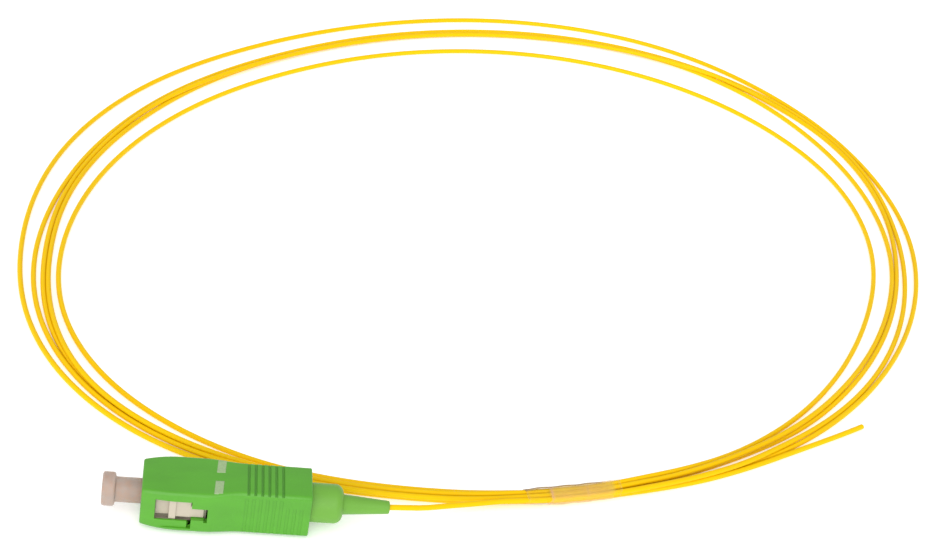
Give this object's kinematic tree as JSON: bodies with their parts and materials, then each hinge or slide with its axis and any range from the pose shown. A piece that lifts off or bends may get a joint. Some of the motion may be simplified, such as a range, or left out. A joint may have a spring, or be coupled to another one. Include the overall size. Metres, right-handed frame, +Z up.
{
  "type": "fibre optic pigtail",
  "caption": "Fibre optic pigtail: a green push-pull plug with angled ferrule, boot and dust cap on a yellow buffered fibre, coiled in loose turns held by a tape wrap.",
  "frame": {"origin": "on the floor under the plug's middle: half way from the dust cap's tip to the boot's end, on the plug's middle plane", "axes": "+X along the plug from its dust cap to its boot, +Y across the plug towards the coil, +Z up"},
  "size_m": [0.1723, 0.1794, 0.008],
  "materials": {
    "housing_green": "smooth moulded",
    "boot_green": "satin moulded",
    "frame_beige": "matte moulded",
    "cap_plastic": "translucent moulded",
    "zirconia": "polished",
    "nickel_plate": "plated",
    "yellow_buffer": "satin extruded",
    "tape_film": "clear film over the fibre"
  },
  "bodies": {
    "plug": {"plug_frame": "frame_beige", "stop_ring": "nickel_plate", "spring": "nickel_plate", "boot": "boot_green", "fibre_inside": "yellow_buffer", "fibre_lead": "yellow_buffer", "fibre_coil": "yellow_buffer", "fibre_tail": "yellow_buffer", "tape_wrap": "tape_film"},
    "housing": {"outer_housing": "housing_green"},
    "cap": {"dust_cap": "cap_plastic"},
    "ferrule": {"ferrule": "zirconia", "ferrule_flange": "nickel_plate"}
  },
  "joints": [
    {"name": "housing_slide", "type": "slide", "parent": "plug", "child": "housing", "axis": [1, 0, 0], "range_m": [0, 0.002]},
    {"name": "cap_pull", "type": "slide", "parent": "plug", "child": "cap", "axis": [-1, 0, 0], "range_m": [0, 0.015]},
    {"name": "ferrule_float", "type": "slide", "parent": "plug", "child": "ferrule", "axis": [1, 0, 0], "range_m": [0, 0.001], "stiffness_N_per_m": 1500, "deforming": ["spring"]}
  ]
}
